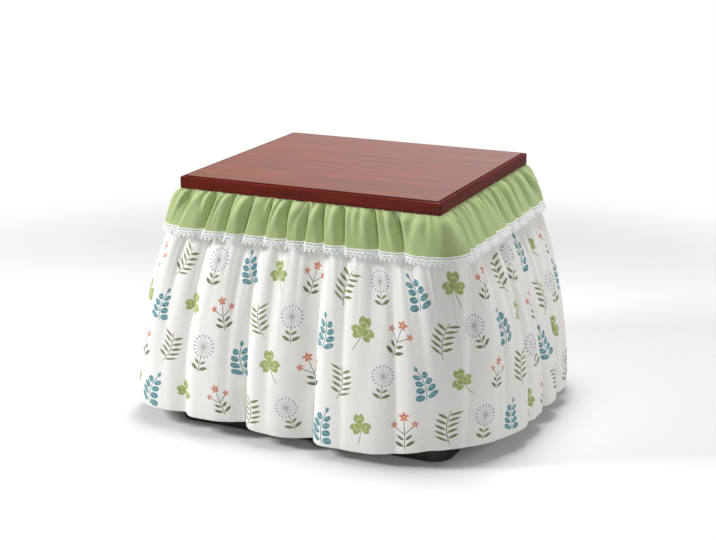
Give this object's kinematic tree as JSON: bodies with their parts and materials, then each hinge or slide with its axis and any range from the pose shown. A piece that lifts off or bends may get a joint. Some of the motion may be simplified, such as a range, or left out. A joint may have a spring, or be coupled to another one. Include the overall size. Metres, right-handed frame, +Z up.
{
  "type": "kotatsu table",
  "caption": "Heated table with a loose wooden top, a jointed frame that carries a fan heater, a frilled cloth cover to the floor and a slatted footrest base.",
  "frame": {"origin": "on the floor, under the middle of the table", "axes": "+X to the right of a person at the front, +Y to the back, +Z up"},
  "size_m": [1.154, 0.9022, 0.745],
  "materials": {
    "top_wood": "high gloss lacquer, red-brown",
    "inner_wood": "planed and oiled",
    "base_wood": "black stain, satin lacquer",
    "slat_wood": "sanded, satin lacquer",
    "frill_cotton": "plain woven cotton, apple green",
    "skirt_cotton": "printed woven cotton, off-white",
    "lace": "crocheted cotton, white",
    "quilt": "quilted cotton, off-white",
    "steel": "zinc plated",
    "heater_paint": "black heat-resistant paint",
    "bright_aluminium": "bright rolled",
    "quartz": "clear quartz",
    "core": "unglazed, with the heating wire wound on it",
    "porcelain": "unglazed",
    "net_wire": "plated wire",
    "motor_case": "satin grey",
    "fan_metal": "satin",
    "box_plastic": "fine texture, ivory",
    "dial_plastic": "black",
    "rocker_plastic": "red",
    "switch_plastic": "black",
    "lamp_plastic": "amber, translucent",
    "rubber": "matt"
  },
  "bodies": {
    "frame": {"leg_front_left": "inner_wood", "leg_front_right": "inner_wood", "leg_back_left": "inner_wood", "leg_back_right": "inner_wood", "apron_front": "inner_wood", "apron_back": "inner_wood", "apron_left": "inner_wood", "apron_right": "inner_wood", "heater_rail_left": "inner_wood", "heater_rail_right": "inner_wood", "base_rail_front": "base_wood", "base_rail_back": "base_wood", "base_rail_left": "base_wood", "base_rail_right": "base_wood", "footrest_slats": "slat_wood", "rubber_feet": "rubber", "foot_screws": "steel", "base_bolts": "steel", "leg_bolts": "steel", "leg_nuts": "steel", "corner_brackets": "steel", "bracket_screws": "steel", "heading_band": "quilt", "cover_quilt": "quilt", "skirt_front": "skirt_cotton", "skirt_right": "skirt_cotton", "skirt_back": "skirt_cotton", "skirt_left": "skirt_cotton", "frill": "frill_cotton", "lace_trim": "lace", "heater_housing": "heater_paint", "heater_screws": "steel", "reflector": "bright_aluminium", "thermal_cutout": "core", "quartz_tubes": "quartz", "heating_cores": "core", "tube_holders": "porcelain", "fan_motor": "motor_case", "guard_rim": "heater_paint", "guard_net": "net_wire", "control_case": "box_plastic", "control_plate": "box_plastic", "case_screws": "steel", "plate_screws": "steel", "thermostat": "switch_plastic", "indicator_lamp": "lamp_plastic", "switch_body": "switch_plastic", "power_inlet": "switch_plastic", "heater_lead": "rubber", "lead_grommets": "rubber"},
    "table_top": {"top_panel": "top_wood", "top_moulding_front": "top_wood", "top_moulding_back": "top_wood", "top_moulding_left": "top_wood", "top_moulding_right": "top_wood", "top_battens": "inner_wood"},
    "dial": {"temperature_dial": "dial_plastic"},
    "rocker": {"power_rocker": "rocker_plastic"},
    "fan": {"fan_impeller": "fan_metal", "fan_shaft": "steel"}
  },
  "joints": [
    {"name": "top_lift", "type": "slide", "parent": "frame", "child": "table_top", "axis": [0, 0, 1], "range_m": [0, 0.15]},
    {"name": "dial_turn", "type": "hinge", "parent": "frame", "child": "dial", "pos_m": [0.1489, -0.337, 0.617], "axis": [0, 1, 0], "range_deg": [0, 270]},
    {"name": "rocker_tilt", "type": "hinge", "parent": "frame", "child": "rocker", "pos_m": [0.2191, -0.333, 0.617], "axis": [1, 0, 0], "range_deg": [-14, 0]},
    {"name": "fan_spin", "type": "hinge", "parent": "frame", "child": "fan", "pos_m": [0, 0, 0.6248], "axis": [0, 0, 1], "continuous": true}
  ]
}
